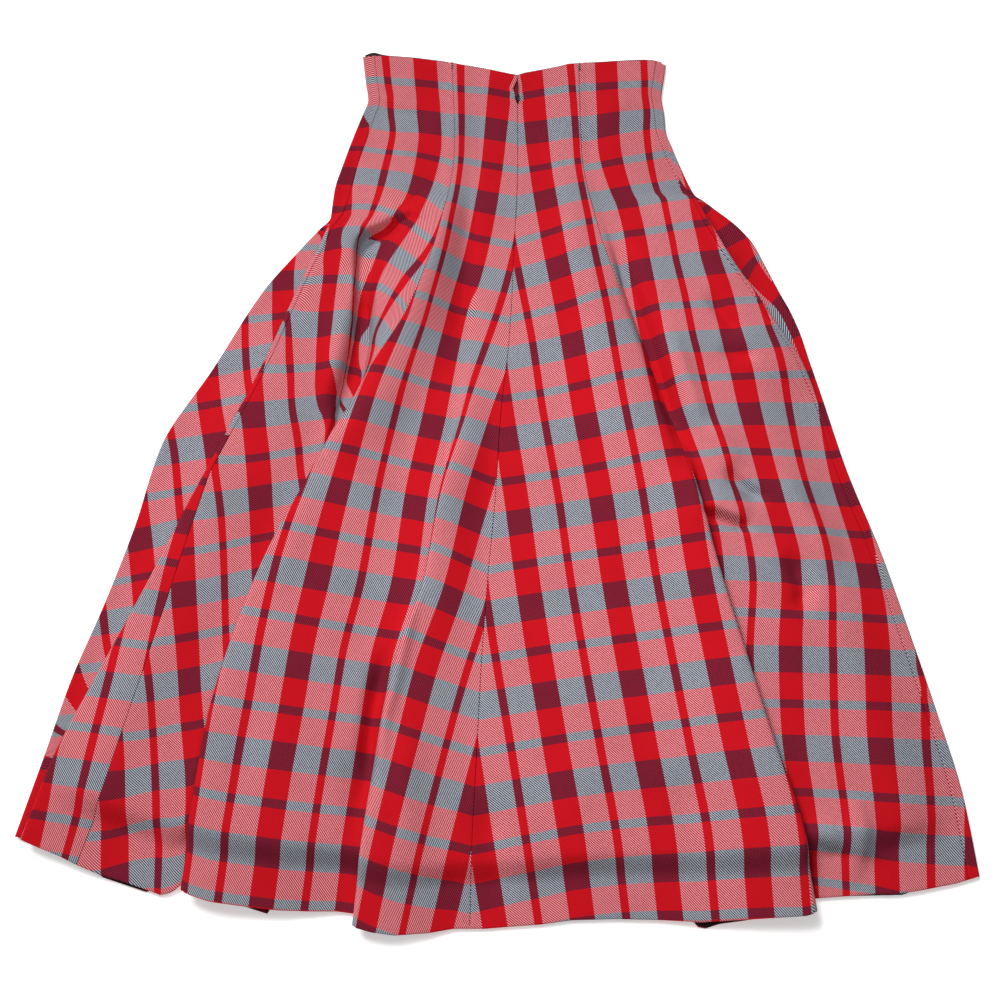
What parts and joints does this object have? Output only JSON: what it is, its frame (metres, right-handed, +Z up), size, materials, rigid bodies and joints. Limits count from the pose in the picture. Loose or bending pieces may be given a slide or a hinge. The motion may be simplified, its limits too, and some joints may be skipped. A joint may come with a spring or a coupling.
{
  "type": "flared skirt",
  "caption": "Gored flared midi skirt in a red, white and navy tartan, laid flat back side up, with deep soft folds and a concealed zip at the centre-back seam.",
  "frame": {"origin": "middle of the laid-out skirt's bounding box, on the surface that it lies on", "axes": "+Z up from the surface, +Y from hem towards waist, +X to the right as seen from above with the hem nearest"},
  "size_m": [0.9422, 0.97, 0.0302],
  "materials": {
    "tartan_cloth": "2/2 twill suiting in red, white and navy tartan, matt",
    "dark_facing": "matt dark facing",
    "zip_tape": "matt woven tape",
    "zip_metal": "dark lacquer"
  },
  "bodies": {
    "skirt": {"back_centre_left": "tartan_cloth", "back_centre_right": "tartan_cloth", "back_side_left": "tartan_cloth", "back_side_right": "tartan_cloth", "front": "tartan_cloth", "waist_facing": "dark_facing", "hem_facing": "dark_facing", "zip_tape": "zip_tape", "zip_slider": "zip_metal"},
    "pull_tab": {"zip_pull": "zip_metal"}
  },
  "joints": [
    {"name": "pull_tab_hinge", "type": "hinge", "parent": "skirt", "child": "pull_tab", "pos_m": [0.0247, 0.4289, 0.006], "axis": [-1, 0, 0], "range_deg": [0, 150]}
  ]
}
